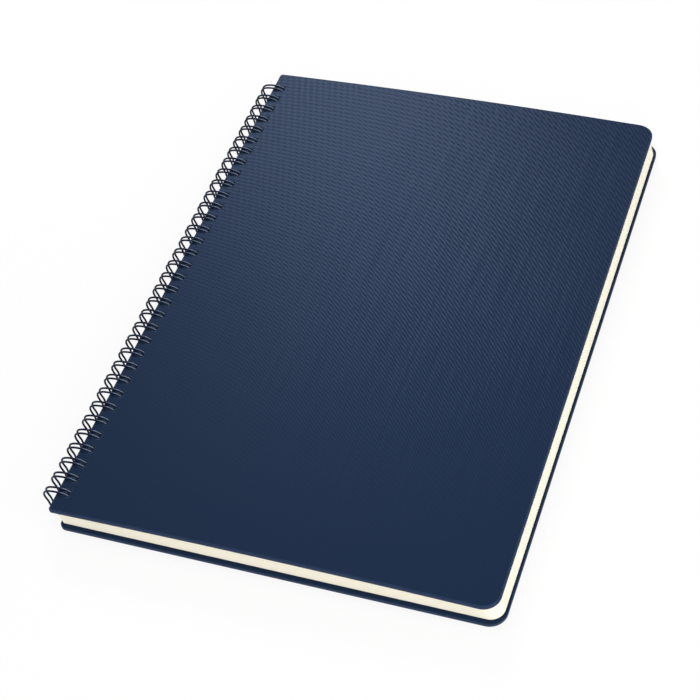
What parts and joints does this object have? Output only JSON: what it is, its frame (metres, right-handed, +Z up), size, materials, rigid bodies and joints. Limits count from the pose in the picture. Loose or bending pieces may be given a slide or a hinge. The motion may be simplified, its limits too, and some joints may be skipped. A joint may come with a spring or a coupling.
{
  "type": "hardcover notebook",
  "caption": "Wire-bound hardcover notebook with stiff wrapped covers that open about a closed twin-loop wire spine.",
  "frame": {"origin": "middle of the footprint, on the surface that the closed notebook lies on", "axes": "+Y from the near edge to the far edge along the spine, +X from the spine to the fore edge, +Z up through the front cover"},
  "size_m": [0.2182, 0.302, 0.0179],
  "materials": {
    "cover_wrap": "satin",
    "cover_lining": "matte",
    "grey_board": "matte",
    "cream_paper": "matte",
    "enamelled_wire": "satin"
  },
  "bodies": {
    "back_cover": {"back_board": "grey_board", "back_covering": "cover_wrap", "back_lining": "cover_lining", "binding_wire": "enamelled_wire"},
    "pages": {"page_block": "cream_paper"},
    "front_cover": {"front_board": "grey_board", "front_covering": "cover_wrap", "front_lining": "cover_lining"}
  },
  "joints": [
    {"name": "pages_turn", "type": "hinge", "parent": "back_cover", "child": "pages", "pos_m": [-0.10012, 0, 0.00897], "axis": [0, -1, 0], "range_deg": [0, 180]},
    {"name": "front_cover_open", "type": "hinge", "parent": "pages", "child": "front_cover", "pos_m": [-0.10012, 0, 0.00897], "axis": [0, -1, 0], "range_deg": [0, 180]}
  ]
}
